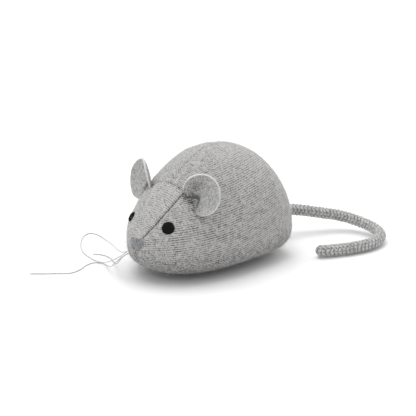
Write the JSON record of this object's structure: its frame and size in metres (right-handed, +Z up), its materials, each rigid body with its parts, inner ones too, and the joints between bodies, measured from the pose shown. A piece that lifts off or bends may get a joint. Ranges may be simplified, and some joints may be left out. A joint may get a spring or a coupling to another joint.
{
  "type": "clockwork mouse",
  "caption": "Clockwork mouse: knitted cover with felt ears and a wired tail over a moulded shell, a wound spring movement, driven rear wheels and a swivelling front roller.",
  "frame": {"origin": "on the floor under the middle of the body, midway between nose tip and rump, on the centre plane", "axes": "-Y towards the nose, +X towards the mouse's left side, +Z up from the floor"},
  "size_m": [0.1138, 0.1559, 0.056],
  "materials": {
    "knit": "heathered grey wool knit",
    "felt": "light grey wool felt",
    "nose_felt": "blue-grey felt",
    "eye_felt": "black felt",
    "seam_thread": "dark grey sewing thread",
    "whisker_thread": "pale fine thread",
    "tail_knit": "grey knitted cord",
    "shell": "moulded, satin",
    "plate": "moulded, fine texture",
    "zinc_steel": "zinc plated",
    "spring_steel": "blued spring steel",
    "brass": "turned",
    "nickel": "nickel plated",
    "wheel_plastic": "moulded",
    "tyre_rubber": "matt black"
  },
  "bodies": {
    "body": {"left_side_panel": "knit", "right_side_panel": "knit", "forehead_panel": "knit", "forehead_seam_left": "seam_thread", "forehead_seam_right": "seam_thread", "cross_seam": "seam_thread", "back_seam": "seam_thread", "chin_seam": "seam_thread", "nose_patch": "nose_felt", "eye_left": "eye_felt", "eye_right": "eye_felt", "ear_left": "felt", "ear_right": "felt", "whisker_loop": "whisker_thread", "whisker_long": "whisker_thread", "whisker_short": "whisker_thread", "tail_bracket": "plate", "shell_left": "shell", "shell_right": "shell", "mounting_ring": "shell", "base_plate": "plate", "base_screw_1": "zinc_steel", "base_screw_2": "zinc_steel", "base_screw_3": "zinc_steel", "base_screw_4": "zinc_steel", "frame_plate_left": "zinc_steel", "frame_plate_right": "zinc_steel", "pillar_1": "brass", "pillar_2": "brass", "pillar_3": "brass", "pillar_4": "brass", "frame_screws": "zinc_steel", "mainspring": "spring_steel", "key_bush": "brass", "front_bridge": "zinc_steel", "fork_rivet": "brass"},
    "axle": {"drive_axle": "zinc_steel", "axle_pinion": "brass", "rear_wheel_left": "wheel_plastic", "rear_wheel_right": "wheel_plastic", "tyre_left": "tyre_rubber", "tyre_right": "tyre_rubber"},
    "intermediate": {"intermediate_arbor": "zinc_steel", "intermediate_wheel": "brass"},
    "great": {"great_wheel": "brass", "click_spring": "spring_steel"},
    "star": {"star_arbor": "zinc_steel", "star_wheel": "brass"},
    "arbor": {"spring_arbor": "brass", "ratchet_wheel": "brass", "winding_key": "nickel"},
    "anchor": {"anchor_arbor": "zinc_steel", "governor_anchor": "zinc_steel"},
    "fork": {"front_fork": "zinc_steel", "front_axle": "zinc_steel"},
    "roller": {"front_roller": "tyre_rubber"},
    "tail": {"tail_cord": "tail_knit", "tail_socket": "plate"}
  },
  "joints": [
    {"name": "axle_spin", "type": "hinge", "parent": "body", "child": "axle", "pos_m": [0, 0.02, 0.008], "axis": [1, 0, 0], "continuous": true},
    {"name": "intermediate_spin", "type": "hinge", "parent": "body", "child": "intermediate", "pos_m": [0, 0.02637, 0.01284], "axis": [1, 0, 0], "continuous": true},
    {"name": "great_wheel_spin", "type": "hinge", "parent": "body", "child": "great", "pos_m": [0, 0.017, 0.01952], "axis": [1, 0, 0], "continuous": true},
    {"name": "star_wheel_spin", "type": "hinge", "parent": "body", "child": "star", "pos_m": [0, 0.0283, 0.02061], "axis": [1, 0, 0], "continuous": true},
    {"name": "key_wind", "type": "hinge", "parent": "body", "child": "arbor", "pos_m": [0, 0.017, 0.01952], "axis": [1, 0, 0], "range_deg": [0, 1440], "deforming": ["mainspring", "click_spring"]},
    {"name": "governor_rock", "type": "hinge", "parent": "body", "child": "anchor", "pos_m": [0, 0.02465, 0.02646], "axis": [1, 0, 0], "range_deg": [-4, 4]},
    {"name": "front_fork_swivel", "type": "hinge", "parent": "body", "child": "fork", "pos_m": [0, -0.015, 0.0115], "axis": [0, 0, 1], "range_deg": [-25, 25]},
    {"name": "front_roller_spin", "type": "hinge", "parent": "fork", "child": "roller", "pos_m": [0, -0.0115, 0.004], "axis": [1, 0, 0], "continuous": true},
    {"name": "tail_swing", "type": "hinge", "parent": "body", "child": "tail", "pos_m": [0, 0.0362, 0.0135], "axis": [0, 0, 1], "range_deg": [-12, 12]}
  ],
  "couplings": [
    {"joint": "intermediate_spin", "follows": "axle_spin", "ratio": -0.33333},
    {"joint": "great_wheel_spin", "follows": "axle_spin", "ratio": 0.092593},
    {"joint": "star_wheel_spin", "follows": "axle_spin", "ratio": 1}
  ]
}
